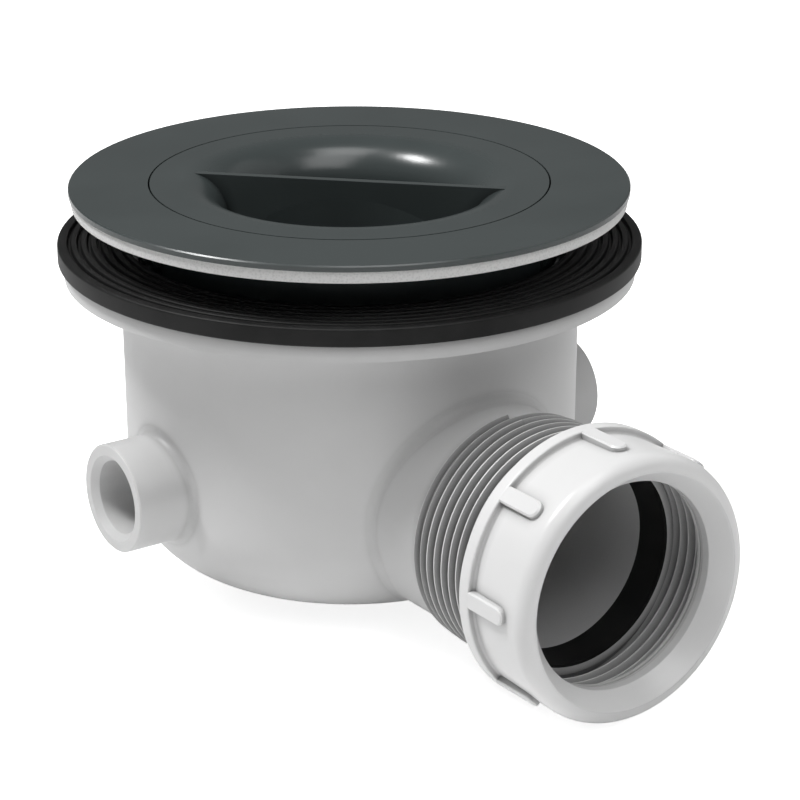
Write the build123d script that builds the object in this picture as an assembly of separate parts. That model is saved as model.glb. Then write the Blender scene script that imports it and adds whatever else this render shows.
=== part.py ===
import os

from build123d import *

# Shower trap for a 90 mm tray hole. Millimetres, +Z up, outlet along +X.
# Heights count from the underside of the tray, where it rests on the gasket.

# Waste flange, with the tray and the washer that it clamps
TRAY_THICKNESS = 7.8
WASHER_THICKNESS = 2.4
WASHER_R = 56.0
WASHER_HOLE_R = 43.2
FLANGE_EDGE = 1.2
FLANGE_R = 56.5
FLANGE_BEVEL = 0.25
SKIRT_R = 42.2
SKIRT_BORE_R = 40.0
SKIRT_BOTTOM_Z = -22.0
SEAT_BORE_R = 40.55
SEAT_Z = 5.2
SEAT_HOLE_R = 38.6
SEAT_THICKNESS = 3.0
KEY_SLOTS = 4
KEY_SLOT_WIDTH = 8.0
KEY_SLOT_DEPTH = 1.0

# Lift-out insert: flush plate, funnel, pull bar and dip tube
PLATE_R = 40.2
PLATE_THICKNESS = 2.0
RIM_R = 38.2
RIM_WALL = 2.2
RIM_BOTTOM_Z = 0.0
RIB_THICKNESS = 1.5
FUNNEL_R = 33.7
FUNNEL_ROUND = 8.7
FUNNEL_KNEE = 0.3
DIP_TUBE_WALL = 2.0
DIP_TUBE_BOTTOM_Z = -56.8
BAR_THICKNESS = 1.7
BAR_DEPTH = 3.8
BAR_DROP = 0.2
BAR_ARCH_R = 34.0
BAR_ANGLE = 45.0

# Wiper seal round the insert's rim, under the plate
SEAL_RING_R = 40.4
SEAL_RING_SHOULDER_R = 38.9
SEAL_RING_LIP = 0.7
SEAL_RING_SLACK = 0.1

# Tray gasket
GASKET_R = 59.1
GASKET_HOLE_R = 45.2
GASKET_THICKNESS = 3.6
GASKET_RIM = 1.9
GASKET_RIDGES = 6
GASKET_RIDGE_HEIGHT = 0.8

# Trap body
BODY_FLANGE_R = 57.9
BODY_FLANGE_THICKNESS = 3.4
BODY_TOP_R = 46.6
BODY_FOOT_R = 46.1
BODY_BOTTOM_Z = -67.9
BODY_BOTTOM_ROUND = 18.0
BODY_WALL = 2.5
NECK_R = 44.2
NECK_BOTTOM_Z = -28.0

# Seal cup that the dip tube hangs in, welded to the floor of the pot
CUP_R = 34.9
CUP_WALL = 1.9
CUP_RIM_Z = -9.6
CUP_FOOT_R = 25.0
CUP_FOOT_RISE = 6.0

# Outlet stub, with the seal in its mouth
OUTLET_Z = -45.2
STUB_R = 22.5
STUB_END = 77.2
STUB_ROOT = 2.0
STUB_BORE_R = 19.4
STUB_BORE_START = 38.0
SEAL_START = 70.8
SEAL_MOUTH_R = 20.9
SEAL_LIP_R = 20.3
SEAL_WALL = 0.9
SEAL_GAP = 0.05

# Overflow spigots, blanked at the wall of the pot until they are drilled out
SPIGOT_Z = -44.7
SPIGOT_R = 11.0
SPIGOT_ROOT_R = 11.3
SPIGOT_STRAIGHT = 8.0
SPIGOT_END = 57.0
SPIGOT_BORE_R = 7.5
SPIGOT_BORE_START = 45.3
SPIGOT_LEAD_IN = 1.3
SPIGOT_ROOT = 1.5

# Compression nut, as far on its thread as one turn
NUT_REAR = 75.6
NUT_COLLAR = 2.9
NUT_COLLAR_R = 27.5
NUT_WAIST_R = 26.1
NUT_R = 26.6
NUT_FRONT = 93.9
NUT_ROUND = 3.0
NUT_BORE_R = 24.2
NUT_MOUTH_R = 23.4
NUT_LIP_R = 20.53
NUT_LIP_FRONT = 89.9
NUT_LIP_REAR = 88.1
NUT_LUGS = 8
LUG_END = 88.6
LUG_WIDTH = 3.5
EDGE_BREAK = 0.3

# Slip ring behind the nut's lip
SLIP_RING_R = 22.2
SLIP_RING_HOLE_R = 20.75
SLIP_RING_THICKNESS = 2.0

WASHER_TOP_Z = TRAY_THICKNESS + WASHER_THICKNESS
FLANGE_TOP_Z = WASHER_TOP_Z + FLANGE_EDGE
BODY_TOP_Z = -GASKET_THICKNESS
BODY_FLANGE_BOTTOM_Z = BODY_TOP_Z - BODY_FLANGE_THICKNESS
FLOOR_Z = BODY_BOTTOM_Z + BODY_WALL
OUTLET = Location((0, 0, OUTLET_Z))


def outline(points, rounds=()):
    """Closed face through the points, with each (corner, radius) of rounds filleted."""
    face = make_face(Polyline(*points, close=True))
    for corner, radius in rounds:
        vertex = face.vertices().sort_by_distance((*corner, 0))[0]
        face = fillet(vertex, radius)
    return face


def turned(points, rounds=()):
    """Solid turned about the trap's axis from (radius, height) points, its seam at the back."""
    return Rot(0, 0, 180) * revolve(Plane.XZ * outline(points, rounds), Axis.Z)


def turned_outlet(points, rounds=()):
    """Solid turned about the outlet's axis from (distance, radius) points."""
    return OUTLET * revolve(Plane.XZ * outline(points, rounds), Axis.X)


def turned_spigot(side, points):
    """Solid turned about a spigot's axis from (distance, radius) points, side being -1 or 1."""
    spigot = revolve(Plane.XZ * outline(points), Axis.X)
    return Pos(0, 0, SPIGOT_Z) * Rot(0, 0, side * 90) * spigot


def bar(radius, start, end):
    """Outline points of a plain round bar."""
    return [(start, 0), (end, 0), (end, radius), (start, radius)]


def join(body, branch, root):
    """Body with a branch moulded on, its root rounded."""
    joined = body + branch
    return fillet(new_edges(body, branch, combined=joined), root)


def make_trap_body():
    pot = turned(
        [
            (0, BODY_BOTTOM_Z),
            (BODY_FOOT_R, BODY_BOTTOM_Z),
            (BODY_TOP_R, BODY_FLANGE_BOTTOM_Z),
            (BODY_FLANGE_R, BODY_FLANGE_BOTTOM_Z),
            (BODY_FLANGE_R, BODY_TOP_Z),
            (0, BODY_TOP_Z),
        ],
        [((BODY_FOOT_R, BODY_BOTTOM_Z), BODY_BOTTOM_ROUND)],
    )
    foot = BODY_FOOT_R - BODY_WALL
    hollow = turned(
        [
            (0, FLOOR_Z),
            (foot - BODY_BOTTOM_ROUND, FLOOR_Z),
            (foot - BODY_BOTTOM_ROUND / 3, FLOOR_Z + BODY_BOTTOM_ROUND / 4),
            (foot, FLOOR_Z + BODY_BOTTOM_ROUND),
            (NECK_R - EDGE_BREAK, NECK_BOTTOM_Z - EDGE_BREAK),
            (NECK_R, NECK_BOTTOM_Z),
            (NECK_R, BODY_TOP_Z),
            (0, BODY_TOP_Z),
        ]
    )
    spigot = [
        (0, 0),
        (SPIGOT_END, 0),
        (SPIGOT_END, SPIGOT_R - EDGE_BREAK),
        (SPIGOT_END - EDGE_BREAK, SPIGOT_R),
        (SPIGOT_END - EDGE_BREAK - SPIGOT_STRAIGHT, SPIGOT_R),
        (BODY_FOOT_R - BODY_WALL, SPIGOT_ROOT_R),
        (0, SPIGOT_ROOT_R),
    ]
    spigot_bore = [
        (SPIGOT_BORE_START, 0),
        (SPIGOT_END, 0),
        (SPIGOT_END, SPIGOT_BORE_R + SPIGOT_LEAD_IN),
        (SPIGOT_END - SPIGOT_LEAD_IN, SPIGOT_BORE_R),
        (SPIGOT_BORE_START, SPIGOT_BORE_R),
    ]
    body = join(pot, turned_outlet(bar(STUB_R, 0, STUB_END)), STUB_ROOT)
    for side in (-1, 1):
        body = join(body, turned_spigot(side, spigot), SPIGOT_ROOT)
    body -= hollow
    body -= turned_outlet(bar(STUB_BORE_R, STUB_BORE_START, STUB_END))
    body -= turned_outlet(
        [
            (SEAL_START, 0),
            (STUB_END, 0),
            (STUB_END, SEAL_MOUTH_R + SEAL_GAP),
            (SEAL_START, STUB_BORE_R + SEAL_WALL + SEAL_GAP),
        ]
    )
    for side in (-1, 1):
        body -= turned_spigot(side, spigot_bore)
    return body


def make_seal_cup():
    bore_r = CUP_R - CUP_WALL
    return turned(
        [
            (0, FLOOR_Z),
            (CUP_FOOT_R, FLOOR_Z),
            (CUP_R, FLOOR_Z + CUP_FOOT_RISE),
            (CUP_R, CUP_RIM_Z),
            (bore_r, CUP_RIM_Z),
            (bore_r, FLOOR_Z + CUP_FOOT_RISE + CUP_WALL / 2),
            (CUP_FOOT_R - CUP_WALL / 2, FLOOR_Z + CUP_WALL),
            (0, FLOOR_Z + CUP_WALL),
        ]
    )


def make_tray_gasket():
    pitch = (GASKET_R - GASKET_RIM - GASKET_HOLE_R) / GASKET_RIDGES
    points = [
        (GASKET_HOLE_R, -GASKET_THICKNESS),
        (GASKET_R, -GASKET_THICKNESS),
        (GASKET_R, 0),
        (GASKET_R - GASKET_RIM, 0),
    ]
    for ridge in range(GASKET_RIDGES):
        foot = GASKET_R - GASKET_RIM - ridge * pitch
        points.append((foot - 0.25 * pitch, -GASKET_RIDGE_HEIGHT))
        points.append((foot - 0.6 * pitch, 0))
        points.append((foot - pitch, 0))
    return turned(points)


def make_flange_washer():
    return turned(
        [
            (WASHER_HOLE_R, TRAY_THICKNESS),
            (WASHER_R, TRAY_THICKNESS),
            (WASHER_R, WASHER_TOP_Z),
            (WASHER_HOLE_R, WASHER_TOP_Z),
        ]
    )


def make_waste_flange():
    flange = turned(
        [
            (SEAT_BORE_R, FLANGE_TOP_Z),
            (FLANGE_R - FLANGE_BEVEL, FLANGE_TOP_Z),
            (FLANGE_R, FLANGE_TOP_Z - FLANGE_BEVEL),
            (FLANGE_R, WASHER_TOP_Z),
            (SKIRT_R, WASHER_TOP_Z),
            (SKIRT_R, SKIRT_BOTTOM_Z + EDGE_BREAK),
            (SKIRT_R - EDGE_BREAK, SKIRT_BOTTOM_Z),
            (SKIRT_BORE_R, SKIRT_BOTTOM_Z),
            (SKIRT_BORE_R, SEAT_Z - SEAT_THICKNESS),
            (SEAT_HOLE_R, SEAT_Z - SEAT_THICKNESS),
            (SEAT_HOLE_R, SEAT_Z),
            (SEAT_BORE_R, SEAT_Z),
        ]
    )
    slot = Box(2 * KEY_SLOT_DEPTH, KEY_SLOT_WIDTH, 2 * SEAT_THICKNESS)
    slot = Pos(SEAT_HOLE_R, 0, SEAT_Z - SEAT_THICKNESS / 2) * slot
    for place in range(KEY_SLOTS):
        flange -= Rot(0, 0, place * 360 / KEY_SLOTS) * slot
    return flange


def make_dip_tube_insert():
    bore_r = FUNNEL_R - FUNNEL_ROUND
    tube_r = bore_r + DIP_TUBE_WALL
    plate_under = FLANGE_TOP_Z - PLATE_THICKNESS
    under_round = FUNNEL_ROUND - PLATE_THICKNESS
    insert = turned(
        [
            (bore_r, DIP_TUBE_BOTTOM_Z),
            (tube_r, DIP_TUBE_BOTTOM_Z),
            (tube_r, plate_under - under_round),
            (tube_r + FUNNEL_KNEE * under_round, plate_under - FUNNEL_KNEE * under_round),
            (FUNNEL_R, plate_under),
            (RIM_R - RIM_WALL, plate_under),
            (RIM_R - RIM_WALL, RIM_BOTTOM_Z),
            (RIM_R, RIM_BOTTOM_Z),
            (RIM_R, SEAT_Z),
            (PLATE_R, SEAT_Z),
            (PLATE_R, SEAT_Z + RIB_THICKNESS),
            (RIM_R, SEAT_Z + RIB_THICKNESS),
            (RIM_R, plate_under),
            (PLATE_R, plate_under),
            (PLATE_R, FLANGE_TOP_Z),
            (bore_r, FLANGE_TOP_Z),
        ],
        [((bore_r, FLANGE_TOP_Z), FUNNEL_ROUND)],
    )
    return insert + make_pull_bar(bore_r + DIP_TUBE_WALL / 2)


def make_pull_bar(reach):
    """Upright web across the funnel, arched underneath, its ends sunk in the funnel's wall."""
    top = FLANGE_TOP_Z - BAR_DROP
    arch_centre = top - BAR_DEPTH - BAR_ARCH_R
    foot = FLANGE_TOP_Z - FUNNEL_ROUND
    throat = turned(
        [
            (0, arch_centre),
            (reach, arch_centre),
            (reach, top),
            (0, top),
        ]
    )
    mouth = turned(
        [
            (0, foot),
            (reach, foot),
            (FUNNEL_R, top),
            (0, top),
        ]
    )
    web = Box(2 * FUNNEL_R, BAR_THICKNESS, 2 * BAR_ARCH_R)
    web = Pos(0, 0, top - BAR_ARCH_R) * web
    arch = Pos(0, 0, arch_centre) * Rot(90, 0, 0) * Cylinder(BAR_ARCH_R, 2 * BAR_THICKNESS)
    return Rot(0, 0, BAR_ANGLE) * ((throat + mouth) & web - arch)


def make_insert_seal():
    bottom = SEAT_Z + RIB_THICKNESS + SEAL_RING_SLACK
    top = FLANGE_TOP_Z - PLATE_THICKNESS - SEAL_RING_SLACK
    return turned(
        [
            (RIM_R, bottom),
            (SEAL_RING_SHOULDER_R, bottom),
            (SEAL_RING_R, top - SEAL_RING_LIP),
            (SEAL_RING_R, top),
            (RIM_R, top),
        ]
    )


def make_outlet_seal():
    return turned_outlet(
        [
            (SEAL_START, STUB_BORE_R),
            (STUB_END, SEAL_LIP_R),
            (STUB_END, SEAL_MOUTH_R),
            (SEAL_START, STUB_BORE_R + SEAL_WALL),
        ]
    )


def make_slip_ring():
    rear = NUT_LIP_REAR - SLIP_RING_THICKNESS
    return turned_outlet(
        [
            (rear, SLIP_RING_HOLE_R),
            (NUT_LIP_REAR, SLIP_RING_HOLE_R),
            (NUT_LIP_REAR, SLIP_RING_R),
            (rear, SLIP_RING_R),
        ]
    )


def make_compression_nut():
    step = NUT_REAR + NUT_COLLAR
    nut = turned_outlet(
        [
            (NUT_REAR, NUT_BORE_R),
            (NUT_REAR, NUT_COLLAR_R - EDGE_BREAK),
            (NUT_REAR + EDGE_BREAK, NUT_COLLAR_R),
            (step, NUT_COLLAR_R),
            (step, NUT_WAIST_R),
            (NUT_FRONT, NUT_R),
            (NUT_FRONT, NUT_MOUTH_R),
            (NUT_LIP_FRONT, NUT_LIP_R),
            (NUT_LIP_REAR, NUT_LIP_R),
            (NUT_LIP_REAR, NUT_BORE_R),
        ],
        [((NUT_FRONT, NUT_R), NUT_ROUND)],
    )
    shell = turned_outlet(
        [
            (step - NUT_COLLAR / 2, NUT_WAIST_R - EDGE_BREAK),
            (LUG_END, NUT_WAIST_R - EDGE_BREAK),
            (LUG_END, NUT_COLLAR_R),
            (step - NUT_COLLAR / 2, NUT_COLLAR_R),
        ]
    )
    reach = LUG_END - step + NUT_COLLAR / 2
    plan = outline(
        [
            (step - NUT_COLLAR / 2, -LUG_WIDTH / 2),
            (LUG_END, -LUG_WIDTH / 2),
            (LUG_END, LUG_WIDTH / 2),
            (step - NUT_COLLAR / 2, LUG_WIDTH / 2),
        ],
        [((LUG_END, side * LUG_WIDTH / 2), 0.4 * LUG_WIDTH) for side in (-1, 1)],
    )
    lug = OUTLET * extrude(plan, NUT_COLLAR_R + reach) & shell
    for place in range(NUT_LUGS):
        nut += OUTLET * Rot(place * 360 / NUT_LUGS, 0, 0) * OUTLET.inverse() * lug
    return nut


PIECES = {
    "trap_body": make_trap_body,
    "seal_cup": make_seal_cup,
    "tray_gasket": make_tray_gasket,
    "flange_washer": make_flange_washer,
    "waste_flange": make_waste_flange,
    "dip_tube_insert": make_dip_tube_insert,
    "insert_seal": make_insert_seal,
    "outlet_seal": make_outlet_seal,
    "slip_ring": make_slip_ring,
    "compression_nut": make_compression_nut,
}

os.makedirs("parts", exist_ok=True)
for node, make in PIECES.items():
    export_step(make(), f"parts/{node}.step")
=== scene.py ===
import math

import bmesh
import bpy
from mathutils import Euler, Matrix, Vector


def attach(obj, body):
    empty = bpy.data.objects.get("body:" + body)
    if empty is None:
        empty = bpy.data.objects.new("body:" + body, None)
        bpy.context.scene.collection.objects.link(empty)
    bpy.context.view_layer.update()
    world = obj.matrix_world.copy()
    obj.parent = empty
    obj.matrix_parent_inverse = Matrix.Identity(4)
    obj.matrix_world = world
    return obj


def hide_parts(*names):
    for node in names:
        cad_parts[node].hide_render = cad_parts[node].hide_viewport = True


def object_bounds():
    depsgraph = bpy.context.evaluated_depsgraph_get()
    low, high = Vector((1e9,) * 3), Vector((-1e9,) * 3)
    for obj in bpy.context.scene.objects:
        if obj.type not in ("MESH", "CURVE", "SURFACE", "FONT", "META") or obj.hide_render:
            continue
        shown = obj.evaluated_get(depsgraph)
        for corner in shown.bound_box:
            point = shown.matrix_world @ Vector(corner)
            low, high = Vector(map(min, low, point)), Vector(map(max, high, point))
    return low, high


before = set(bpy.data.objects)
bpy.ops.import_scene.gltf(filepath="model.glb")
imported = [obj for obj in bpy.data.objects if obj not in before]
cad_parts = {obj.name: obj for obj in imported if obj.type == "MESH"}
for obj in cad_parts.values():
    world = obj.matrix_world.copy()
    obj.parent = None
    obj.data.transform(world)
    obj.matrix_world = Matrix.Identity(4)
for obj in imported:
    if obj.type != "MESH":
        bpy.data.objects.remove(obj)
cad_box = [list(corner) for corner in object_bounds()]

# Trap body. The pot that hangs under the tray, with its flange, outlet stub and two side spigots,
# injection moulded in one piece from light grey polypropylene. The mould's fine spark finish leaves it satin.


def linear(code):
    """Linear colour with alpha from an sRGB hex code."""
    channels = [int(code[i:i + 2], 16) / 255 for i in (1, 3, 5)]
    return [c / 12.92 if c <= 0.04045 else ((c + 0.055) / 1.055) ** 2.4 for c in channels] + [1.0]


def add(tree, kind, inputs=None, **settings):
    """Adds one node, sets its properties, and fills or links its inputs by name or number."""
    node = tree.nodes.new(kind)
    for name, value in settings.items():
        setattr(node, name, value)
    for name, value in (inputs or {}).items():
        if isinstance(value, bpy.types.NodeSocket):
            tree.links.new(value, node.inputs[name])
        else:
            node.inputs[name].default_value = value
    return node


def moulded(
    name, dark, light, rough, cloud_mm, grain_mm, grain_depth_mm, ior=1.49, shine=0.5, own_grooves=True, painted_shade_gamma=1.0,
):
    """Moulded plastic or rubber: flow clouds in colour and gloss, a fine mould grain, and painted shade in tight
    grooves.
    """
    material = bpy.data.materials.new(name)
    material.use_nodes = True
    tree = material.node_tree
    shader = tree.nodes["Principled BSDF"]
    shader.inputs["IOR"].default_value = ior
    shader.inputs["Specular IOR Level"].default_value = shine
    place = add(tree, "ShaderNodeTexCoord").outputs["Object"]
    cloud = add(tree, "ShaderNodeTexNoise", {"Vector": place, "Scale": 1000 / cloud_mm, "Detail": 3.0})
    colour = add(tree, "ShaderNodeValToRGB", {"Fac": cloud.outputs["Fac"]})
    for element, code, position in zip(colour.color_ramp.elements, (dark, light), (0.35, 0.65)):
        element.color = linear(code)
        element.position = position
    gloss = add(tree, "ShaderNodeMapRange", {
        "Value": cloud.outputs["Fac"], "To Min": rough - 0.03, "To Max": rough + 0.03})
    grain = add(tree, "ShaderNodeTexNoise", {"Vector": place, "Scale": 1000 / grain_mm, "Detail": 2.0})
    bump = add(tree, "ShaderNodeBump", {
        "Height": grain.outputs["Fac"], "Distance": grain_depth_mm / 1000, "Strength": 0.5})
    # Painted shade: an occlusion node darkens the base colour in grooves narrower than about 2.5 mm, and a
    # gamma deepens it. A piece that moves reads only its own form, so it carries no painted shade of its neighbours.
    groove = add(tree, "ShaderNodeAmbientOcclusion", {"Distance": 0.0025}, samples=8, only_local=own_grooves)
    shade = add(tree, "ShaderNodeGamma", {"Color": groove.outputs["Color"], "Gamma": painted_shade_gamma})
    factor, first, second = 0, 6, 7
    colour_with_painted_shade = add(tree, "ShaderNodeMix", {
        factor: 0.9, first: colour.outputs["Color"], second: shade.outputs["Color"],
    }, data_type="RGBA", blend_type="MULTIPLY")
    tree.links.new(colour_with_painted_shade.outputs[2], shader.inputs["Base Color"])
    tree.links.new(gloss.outputs["Result"], shader.inputs["Roughness"])
    tree.links.new(bump.outputs["Normal"], shader.inputs["Normal"])
    return material


def dress(node, material):
    """Gives a CAD node the material in every slot."""
    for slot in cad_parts[node].material_slots:
        slot.material = material


# Satin grey that shades softly from light to dark. The real grain is about 0.05 mm, drawn coarser to show.
# Painted shade makes the grooves of its threads clearly darker than its open walls, and here it also takes in the
# pieces next to it.
body_plastic = moulded(
    "polypropylene_grey_spark_finish", "#cccccc", "#d2d2d2", rough=0.42, cloud_mm=30, grain_mm=0.5, grain_depth_mm=0.01,
    own_grooves=False, painted_shade_gamma=2.0)
dress("trap_body", body_plastic)

# Threads of the trap body, moulded with it. A right-hand pipe thread of 11 turns to the inch runs along
# the outlet stub, low over its first two turns, and another one lines the neck for the waste flange.
PITCH = 0.002309
OUTLET_Z = -0.0452
ALONG_OUTLET = Matrix.Translation((0, 0, OUTLET_Z)) @ Matrix.Rotation(math.pi / 2, 4, "Y")


def screw_thread(name, material):
    """Node tree of a right-hand ridge: a trapezium swept up a spiral about Z, cut off square at both ends."""
    tree = bpy.data.node_groups.new(name, "GeometryNodeTree")
    for label in (
        "Pitch", "Turns", "Start", "Start angle", "First radius", "Last radius", "Height", "Foot width", "Crest width",
        "Profile turn", "Cut from", "Cut to",
    ):
        tree.interface.new_socket(label, in_out="INPUT", socket_type="NodeSocketFloat")
    tree.interface.new_socket("Geometry", in_out="OUTPUT", socket_type="NodeSocketGeometry")
    given = add(tree, "NodeGroupInput").outputs
    rise = add(tree, "ShaderNodeMath", {0: given["Pitch"], 1: given["Turns"]}, operation="MULTIPLY")
    spiral = add(tree, "GeometryNodeCurveSpiral", {
        "Resolution": 96, "Rotations": given["Turns"], "Start Radius": given["First radius"],
        "End Radius": given["Last radius"], "Height": rise.outputs["Value"], "Reverse": True})
    upright = add(tree, "GeometryNodeSetCurveNormal", {"Curve": spiral.outputs["Curve"]}, mode="Z_UP")
    section = add(tree, "GeometryNodeCurvePrimitiveQuadrilateral", {
        "Height": given["Height"], "Bottom Width": given["Foot width"], "Top Width": given["Crest width"],
        "Offset": 0.0}, mode="TRAPEZOID")
    facing = add(tree, "ShaderNodeCombineXYZ", {"Z": given["Profile turn"]})
    section = add(tree, "GeometryNodeTransform", {
        "Geometry": section.outputs["Curve"], "Rotation": facing.outputs["Vector"]})
    ridge = add(tree, "GeometryNodeCurveToMesh", {
        "Curve": upright.outputs["Curve"], "Profile Curve": section.outputs["Geometry"], "Fill Caps": True})
    shift = add(tree, "ShaderNodeCombineXYZ", {"Z": given["Start"]})
    spin = add(tree, "ShaderNodeCombineXYZ", {"Z": given["Start angle"]})
    ridge = add(tree, "GeometryNodeTransform", {
        "Geometry": ridge.outputs["Mesh"], "Translation": shift.outputs["Vector"], "Rotation": spin.outputs["Vector"]})
    span = add(tree, "ShaderNodeMath", {0: given["Cut to"], 1: given["Cut from"]}, operation="SUBTRACT")
    middle = add(tree, "ShaderNodeMath", {
        0: span.outputs["Value"], 1: 0.5, 2: given["Cut from"]}, operation="MULTIPLY_ADD")
    wide = add(tree, "ShaderNodeMath", {0: given["Last radius"], 1: 2.5}, operation="MULTIPLY")
    block_size = add(tree, "ShaderNodeCombineXYZ", {
        "X": wide.outputs["Value"], "Y": wide.outputs["Value"], "Z": span.outputs["Value"]})
    block = add(tree, "GeometryNodeMeshCube", {"Size": block_size.outputs["Vector"]})
    lift = add(tree, "ShaderNodeCombineXYZ", {"Z": middle.outputs["Value"]})
    block = add(tree, "GeometryNodeTransform", {
        "Geometry": block.outputs["Mesh"], "Translation": lift.outputs["Vector"]})
    cut = add(tree, "GeometryNodeMeshBoolean", operation="INTERSECT")
    tree.links.new(ridge.outputs["Geometry"], cut.inputs["Mesh 2"])
    tree.links.new(block.outputs["Geometry"], cut.inputs["Mesh 2"])
    ridge = add(tree, "GeometryNodeRealizeInstances", {"Geometry": cut.outputs["Mesh"]})
    ridge = add(tree, "GeometryNodeSetMaterial", {"Geometry": ridge.outputs["Geometry"], "Material": material})
    add(tree, "NodeGroupOutput", {"Geometry": ridge.outputs["Geometry"]})
    return tree


SHARP = math.radians(32)


def grow(name, tree, sizes, turn=Matrix.Identity(4)):
    """Object whose plain mesh is what the node tree makes with these sizes, then placed by turn."""
    seed = bpy.data.objects.new(name, bpy.data.meshes.new(name))
    bpy.context.scene.collection.objects.link(seed)
    maker = seed.modifiers.new(name, "NODES")
    maker.node_group = tree
    for socket in tree.interface.items_tree:
        if socket.in_out == "INPUT":
            maker[socket.identifier] = sizes[socket.name]
    made = bpy.data.meshes.new_from_object(seed.evaluated_get(bpy.context.evaluated_depsgraph_get()))
    seed.modifiers.remove(maker)
    made.transform(turn)
    made.shade_smooth()
    made.set_sharp_from_angle(angle=SHARP)
    seed.data = made
    made.name = name
    return seed


def ridge_sizes(foot_r, crest_r, start, turns, start_angle, ends, low=0.0, foot=2.1, crest=0.36):
    """Sizes in metres and radians of a ridge given in millimetres and degrees, which may start low and rise."""
    outward = crest_r > foot_r
    return {
        "Pitch": PITCH, "Turns": turns, "Start": start / 1000, "Start angle": math.radians(start_angle),
        "First radius": ((foot_r + crest_r) / 2 - low) / 1000, "Last radius": (foot_r + crest_r) / 2000,
        "Height": abs(crest_r - foot_r) / 1000, "Foot width": foot / 1000, "Crest width": crest / 1000,
        "Profile turn": -math.pi / 2 if outward else math.pi / 2, "Cut from": ends[0] / 1000, "Cut to": ends[1] / 1000,
    }


body_thread = screw_thread("body_thread", body_plastic)
STUB_FOOT_R, STUB_CREST_R = 22.3, 23.9
STUB_ENDS = (50.0, 77.0)
NECK_ENDS = (-27.5, -4.0)
threads = [
    grow("stub_thread_start", body_thread, ridge_sizes(
        STUB_FOOT_R, STUB_CREST_R, start=55.35, turns=2.0, start_angle=183, ends=STUB_ENDS, low=0.4, foot=1.6,
        crest=0.12,
    ), ALONG_OUTLET),
    grow("stub_thread", body_thread, ridge_sizes(
        STUB_FOOT_R, STUB_CREST_R, start=59.97, turns=8.2, start_angle=183, ends=STUB_ENDS, foot=1.6, crest=0.3,
    ), ALONG_OUTLET),
    grow("neck_thread", body_thread, ridge_sizes(
        foot_r=44.4, crest_r=42.9, start=-28.8, turns=11.0, start_angle=0, ends=NECK_ENDS)),
]
for thread in threads:
    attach(thread, "trap_body")

# Seal cup. A cup moulded from the same polypropylene and welded to the pot's floor. It keeps the water
# that shuts off the drain's air.
dress("seal_cup", body_plastic)

# Tray gasket. A ring of black rubber that the tray's underside presses on, moulded with a flat rim
# and concentric ridges that fold over and seal.
# Dull black with a faint grey bloom that takes off most of the shine. The real grain is about 0.1 mm,
# drawn coarser to show.
rubber = moulded(
    "rubber_black_moulded", "#171717", "#1f1f1f", rough=0.5, cloud_mm=8, grain_mm=0.4, grain_depth_mm=0.01, ior=1.52,
    shine=0.18)


def turned(name, outline, material, steps=192, turn=Matrix.Identity(4)):
    """Solid turned about Z from corners (radius, height, rounding) in millimetres, anticlockwise and closed."""
    points = []
    for i, (r, z, rounding) in enumerate(outline):
        corner = Vector((r, z))
        before = Vector(outline[i - 1][:2]) - corner
        after = Vector(outline[(i + 1) % len(outline)][:2]) - corner
        if not rounding:
            points.append(corner)
            continue
        half = before.angle(after) / 2
        reach = rounding / math.tan(half)
        middle = corner + (before.normalized() + after.normalized()).normalized() * (rounding / math.sin(half))
        start = corner + before.normalized() * reach - middle
        sweep = start.angle_signed(corner + after.normalized() * reach - middle)
        pieces = max(2, math.ceil(abs(sweep) / math.radians(11)))
        for piece in range(pieces + 1):
            points.append(middle + Matrix.Rotation(-sweep * piece / pieces, 2) @ start)
    mesh = bpy.data.meshes.new(name)
    form = bmesh.new()
    rings = []
    for step in range(steps):
        angle = 2 * math.pi * step / steps
        rings.append([
            form.verts.new((p.x * math.cos(angle) / 1000, p.x * math.sin(angle) / 1000, p.y / 1000)) for p in points])
    for near, far in zip(rings, rings[1:] + rings[:1]):
        for k in range(len(points)):
            form.faces.new((near[k - 1], far[k - 1], far[k], near[k]))
    bmesh.ops.recalc_face_normals(form, faces=form.faces)
    form.transform(turn)
    form.to_mesh(mesh)
    form.free()
    mesh.materials.append(material)
    mesh.shade_smooth()
    mesh.set_sharp_from_angle(angle=SHARP)
    piece = bpy.data.objects.new(name, mesh)
    bpy.context.scene.collection.objects.link(piece)
    return piece


GASKET_R, GASKET_HOLE_R, GASKET_FOOT, RIM, RIDGES = 59.09, 45.2, -3.6, 1.9, 6
GROOVE_DEPTH, GROOVE_WIDTH, GROOVE_FLANK = 0.8, 1.0, 0.25
ridge_pitch = (GASKET_R - RIM - GASKET_HOLE_R) / RIDGES
gasket_outline = [(GASKET_HOLE_R, GASKET_FOOT, 0.2), (GASKET_R, GASKET_FOOT, 0.35), (GASKET_R, 0, 0.45)]
for ridge in range(RIDGES):
    top = GASKET_R - RIM - ridge * ridge_pitch
    gasket_outline += [
        (top, 0, 0.15), (top - GROOVE_FLANK, -GROOVE_DEPTH, 0.1),
        (top - GROOVE_WIDTH + GROOVE_FLANK, -GROOVE_DEPTH, 0.1), (top - GROOVE_WIDTH, 0, 0.3)]
gasket_outline.append((GASKET_HOLE_R, 0, 0.2))
gasket = turned("gasket", gasket_outline, rubber)
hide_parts("tray_gasket")
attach(gasket, "trap_body")

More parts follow.
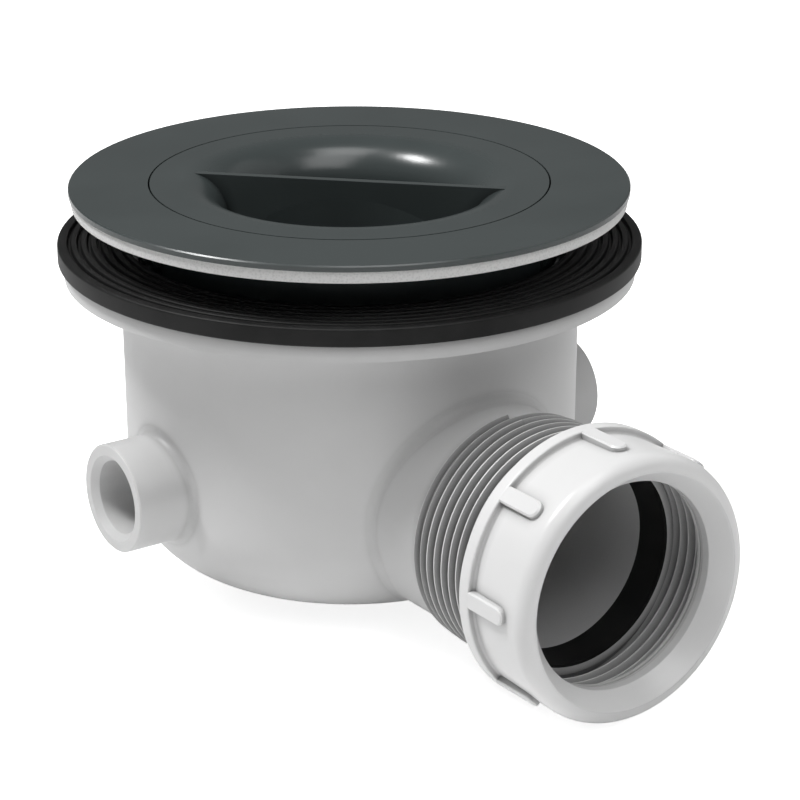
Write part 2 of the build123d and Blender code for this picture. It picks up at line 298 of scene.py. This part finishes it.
# Flange washer. A flat ring punched from white closed-cell polyethylene foam. It lies loose between
# the flange and the tray's top and beds the flange evenly.
# Chalky white, broken up by small cut cells. The real cells are 0.3 to 0.5 mm, drawn at the larger size.
foam = bpy.data.materials.new("polyethylene_foam_white_punched")
foam.use_nodes = True
tree = foam.node_tree
place = add(tree, "ShaderNodeTexCoord").outputs["Object"]
CELL_MM = 0.5
cells = add(tree, "ShaderNodeTexVoronoi", {"Vector": place, "Scale": 1000 / CELL_MM})
tone = add(tree, "ShaderNodeValToRGB", {"Fac": cells.outputs["Distance"]})
for element, code, position in zip(tone.color_ramp.elements, ("#c8c8c7", "#dadad9"), (0.0, 0.6)):
    element.color = linear(code)
    element.position = position
pits = add(tree, "ShaderNodeBump", {"Height": cells.outputs["Distance"], "Distance": 0.00005, "Strength": 0.4})
skin = tree.nodes["Principled BSDF"]
skin.inputs["Roughness"].default_value = 0.75
tree.links.new(tone.outputs["Color"], skin.inputs["Base Color"])
tree.links.new(pits.outputs["Normal"], skin.inputs["Normal"])
WASHER_R, WASHER_HOLE_R, WASHER_FOOT, WASHER_TOP = 56, 43.2, 7.8, 10.2
washer = turned("foam_washer", [
    (WASHER_HOLE_R, WASHER_FOOT, 0.2), (WASHER_R, WASHER_FOOT, 0.3), (WASHER_R, WASHER_TOP, 0.2),
    (WASHER_HOLE_R, WASHER_TOP, 0.2),
], foam)
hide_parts("flange_washer")
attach(washer, "washer")

# Waste flange. The slate grey ring that shows on the tray, moulded in polypropylene with a long skirt.
# The skirt's thread screws it down into the pot's neck and clamps the tray.
# Satin slate with a slight cool cast, smooth enough for soft highlights on its rounds.
slate = moulded(
    "polypropylene_slate_satin_moulded", "#393f3f", "#3e4444", rough=0.25, cloud_mm=30, grain_mm=0.4,
    grain_depth_mm=0.004)
dress("waste_flange", slate)
skirt_thread = grow("skirt_thread", screw_thread("flange_thread", slate), ridge_sizes(
    foot_r=42.0, crest_r=43.9, start=-23.04, turns=8.5, start_angle=0, ends=(-21.7, -3.0)))
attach(skirt_thread, "flange")

# Lift-out insert. One slate polypropylene moulding: the flush plate, the rolled funnel with its pull bar,
# and the dip tube that stands in the seal cup. It drops into the flange and lifts out by the bar.
dress("dip_tube_insert", slate)

# Insert seal. A wiper ring moulded in the same black rubber as the gasket and stretched into the groove
# under the insert's plate. It keeps the drain's air from passing round the insert.
dress("insert_seal", rubber)

# Outlet seal. A tapered ring moulded in the same black rubber and pushed into the mouth of the outlet
# stub, where the nut squeezes it on the pipe.
dress("outlet_seal", rubber)

# Slip ring. A ring moulded in natural nylon that lies behind the nut's lip, so that the turning nut doesn't
# drag on the rubber. A groove round its bore helps it hold the pipe.
# Milky white, a little warmer than the nut.
nylon = moulded(
    "nylon_natural_moulded", "#cfcfce", "#d6d6d5", rough=0.4, cloud_mm=20, grain_mm=0.4, grain_depth_mm=0.008, ior=1.53)
RING_R, RING_BORE_R, RING_REAR, RING_FRONT = 22.2, 20.75, 86.1, 88.1
RING_GROOVE_R, RING_GROOVE_REAR, RING_GROOVE_MIDDLE, RING_GROOVE_FRONT = 21.15, 86.85, 87.1, 87.35
slip_ring = turned("nylon_ring", [
    (RING_R, RING_REAR, 0.25), (RING_R, RING_FRONT, 0.25), (RING_BORE_R, RING_FRONT, 0.3),
    (RING_BORE_R, RING_GROOVE_FRONT, 0.15), (RING_GROOVE_R, RING_GROOVE_MIDDLE, 0.1),
    (RING_BORE_R, RING_GROOVE_REAR, 0.15), (RING_BORE_R, RING_REAR, 0.3),
], nylon, turn=ALONG_OUTLET)
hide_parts("slip_ring")
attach(slip_ring, "slip_ring")

# Compression nut. White polypropylene, moulded in one piece with a rear collar, eight grip lugs and an
# inner thread that runs on the outlet stub.
# Clean white with a semi-gloss skin, so that edges and lugs catch thin highlights.
white = moulded(
    "polypropylene_white_moulded", "#dedede", "#e2e2e2", rough=0.3, cloud_mm=30, grain_mm=0.5, grain_depth_mm=0.006)
NUT_REAR, COLLAR_FRONT, LIP_REAR, LIP_FRONT, NUT_FRONT = 75.6, 78.5, 88.1, 89.9, 93.9
NUT_BORE_R, COLLAR_R, WAIST_R, NUT_R, MOUTH_R, LIP_R = 24.2, 27.49, 26.1, 26.6, 23.4, 20.53
nut = turned("nut", [
    (NUT_BORE_R, NUT_REAR, 0.4), (COLLAR_R, NUT_REAR, 0.4), (COLLAR_R, COLLAR_FRONT, 0.35),
    (WAIST_R, COLLAR_FRONT, 0.5), (NUT_R, NUT_FRONT, 3.0), (MOUTH_R, NUT_FRONT, 0.5),
    (LIP_R, LIP_FRONT, 0.3), (LIP_R, LIP_REAR, 0.2), (NUT_BORE_R, LIP_REAR, 0.2),
], white, steps=256, turn=ALONG_OUTLET)


def lug_ring(name, material):
    """Node tree of equal lugs round Z: a bar with rounded tips, its top edges broken, standing on a radius."""
    tree = bpy.data.node_groups.new(name, "GeometryNodeTree")
    for label in (
        "Lugs", "Length", "Width", "Tip rounding", "Middle", "Foot radius", "Side height", "Edge break",
        "Top length share", "Top width share",
    ):
        kind = "NodeSocketInt" if label == "Lugs" else "NodeSocketFloat"
        tree.interface.new_socket(label, in_out="INPUT", socket_type=kind)
    tree.interface.new_socket("Geometry", in_out="OUTPUT", socket_type="NodeSocketGeometry")
    given = add(tree, "NodeGroupInput").outputs
    plan = add(tree, "GeometryNodeCurvePrimitiveQuadrilateral", {"Width": given["Width"], "Height": given["Length"]})
    plan = add(tree, "GeometryNodeFilletCurve", {
        "Curve": plan.outputs["Curve"], "Radius": given["Tip rounding"], "Count": 8, "Limit Radius": True}, mode="POLY")
    face = add(tree, "GeometryNodeFillCurve", {"Curve": plan.outputs["Curve"]}, mode="NGONS")
    side = add(tree, "GeometryNodeExtrudeMesh", {
        "Mesh": face.outputs["Mesh"], "Offset Scale": given["Side height"], "Individual": False})
    crown = add(tree, "GeometryNodeExtrudeMesh", {
        "Mesh": side.outputs["Mesh"], "Selection": side.outputs["Top"], "Offset Scale": given["Edge break"],
        "Individual": False})
    narrow = add(tree, "GeometryNodeScaleElements", {
        "Geometry": crown.outputs["Mesh"], "Selection": crown.outputs["Top"], "Scale": given["Top width share"],
        "Axis": (1, 0, 0)}, scale_mode="SINGLE_AXIS")
    short = add(tree, "GeometryNodeScaleElements", {
        "Geometry": narrow.outputs["Geometry"], "Selection": crown.outputs["Top"], "Scale": given["Top length share"],
        "Axis": (0, 1, 0)}, scale_mode="SINGLE_AXIS")
    bottom = add(tree, "GeometryNodeFlipFaces", {"Mesh": face.outputs["Mesh"]})
    lug = add(tree, "GeometryNodeJoinGeometry")
    tree.links.new(short.outputs["Geometry"], lug.inputs["Geometry"])
    tree.links.new(bottom.outputs["Mesh"], lug.inputs["Geometry"])
    lug = add(tree, "GeometryNodeMergeByDistance", {"Geometry": lug.outputs["Geometry"], "Distance": 0.000001})
    stand = add(tree, "ShaderNodeCombineXYZ", {"X": given["Foot radius"], "Z": given["Middle"]})
    lug = add(tree, "GeometryNodeTransform", {
        "Geometry": lug.outputs["Geometry"], "Translation": stand.outputs["Vector"],
        "Rotation": (math.pi / 2, 0, math.pi / 2)})
    spots = add(tree, "GeometryNodePoints", {"Count": given["Lugs"]})
    index = add(tree, "GeometryNodeInputIndex")
    step = add(tree, "ShaderNodeMath", {0: 2 * math.pi, 1: given["Lugs"]}, operation="DIVIDE")
    angle = add(tree, "ShaderNodeMath", {0: index.outputs["Index"], 1: step.outputs["Value"]}, operation="MULTIPLY")
    spin = add(tree, "ShaderNodeCombineXYZ", {"Z": angle.outputs["Value"]})
    ring = add(tree, "GeometryNodeInstanceOnPoints", {
        "Points": spots.outputs["Points"], "Instance": lug.outputs["Geometry"], "Rotation": spin.outputs["Vector"]})
    ring = add(tree, "GeometryNodeRealizeInstances", {"Geometry": ring.outputs["Instances"]})
    ring = add(tree, "GeometryNodeSetMaterial", {"Geometry": ring.outputs["Geometry"], "Material": material})
    add(tree, "NodeGroupOutput", {"Geometry": ring.outputs["Geometry"]})
    return tree


lugs = grow("nut_lugs", lug_ring("lug_ring", white), {
    "Lugs": 8, "Length": 0.0116, "Width": 0.0035, "Tip rounding": 0.0017, "Middle": 0.0828, "Foot radius": 0.0258,
    "Side height": 0.00135, "Edge break": 0.0003, "Top length share": 11.0 / 11.6, "Top width share": 2.9 / 3.5,
}, ALONG_OUTLET)
# Its ridges run midway between those of the stub.
nut_thread = grow("nut_thread", screw_thread("nut_thread", white), ridge_sizes(
    foot_r=24.4, crest_r=22.75, start=74.96, turns=5.75, start_angle=180, ends=(75.7, 87.4), foot=1.4,
), ALONG_OUTLET)
form = bmesh.new()
for piece in (nut, lugs, nut_thread):
    form.from_mesh(piece.data)
form.to_mesh(nut.data)
form.free()
for piece in (lugs, nut_thread):
    bpy.data.objects.remove(piece)
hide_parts("compression_nut")
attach(nut, "nut")

# Floor, lights and camera. A sheet of white paper lies just under the nut, and four soft panels light it
# from the left, above, the right and the front. The paper and the world glow to the camera, so that the
# ground reads as pure white.
floor_z = cad_box[0][2] - 0.0004
bpy.ops.mesh.primitive_plane_add(size=6, location=(0, 0, floor_z))
floor = bpy.context.object
floor.name = "floor"
floor_paint = bpy.data.materials.new("floor_paper_white")
floor_paint.use_nodes = True
paper = floor_paint.node_tree
path = add(paper, "ShaderNodeLightPath")
mirrored = add(paper, "ShaderNodeMath", {0: path.outputs["Is Glossy Ray"], 1: 0.1}, operation="MULTIPLY")
glow = add(paper, "ShaderNodeMath", {
    0: path.outputs["Is Camera Ray"], 1: 0.84, 2: mirrored.outputs["Value"]}, operation="MULTIPLY_ADD")
skin = paper.nodes["Principled BSDF"]
skin.inputs["Base Color"].default_value = linear("#fafafa")
skin.inputs["Roughness"].default_value = 0.9
skin.inputs["Emission Color"].default_value = (1, 1, 1, 1)
paper.links.new(glow.outputs["Value"], skin.inputs["Emission Strength"])
floor.data.materials.append(floor_paint)

world = bpy.data.worlds.new("studio")
bpy.context.scene.world = world
world.use_nodes = True
sky = world.node_tree
path = add(sky, "ShaderNodeLightPath")
mirrored = add(sky, "ShaderNodeMath", {0: path.outputs["Is Glossy Ray"], 1: 0.13, 2: 0.03}, operation="MULTIPLY_ADD")
level = add(sky, "ShaderNodeMath", {
    0: path.outputs["Is Camera Ray"], 1: mirrored.outputs["Value"]}, operation="MAXIMUM")
sky.links.new(level.outputs["Value"], sky.nodes["Background"].inputs["Strength"])
sky.nodes["Background"].inputs["Color"].default_value = (1, 1, 1, 1)

TRAP_MIDDLE = Vector((0.02, 0, -0.04))


def panel(name, place, size, watts):
    """Square soft light panel at a place, facing the middle of the trap."""
    light = bpy.data.lights.new(name, "AREA")
    light.energy = watts
    light.size = size
    lamp = bpy.data.objects.new(name, light)
    lamp.location = place
    lamp.rotation_euler = (TRAP_MIDDLE - Vector(place)).to_track_quat("-Z", "Y").to_euler()
    bpy.context.scene.collection.objects.link(lamp)


panel("key_panel", (-0.33, -0.5, 0.92), size=0.25, watts=9.6)
panel("top_panel", (0.15, -0.05, 1.15), size=0.5, watts=3.7)
panel("right_panel", (0.35, 0.9, 0.4), size=1.2, watts=1.8)
panel("front_panel", (0.6, -0.1, 0.8), size=0.6, watts=3.5)

bpy.context.scene.view_settings.view_transform = "Standard"
camera = bpy.data.cameras.new("photo_camera")
camera.sensor_width = 36
camera.lens = 133.474
eye = bpy.data.objects.new("photo_camera", camera)
eye.location = (0.476393, -0.321331, 0.181036)
eye.rotation_euler = Euler([math.radians(a) for a in (69.2894, -0.0052, 54.9891)])
bpy.context.scene.collection.objects.link(eye)
bpy.context.scene.camera = eye
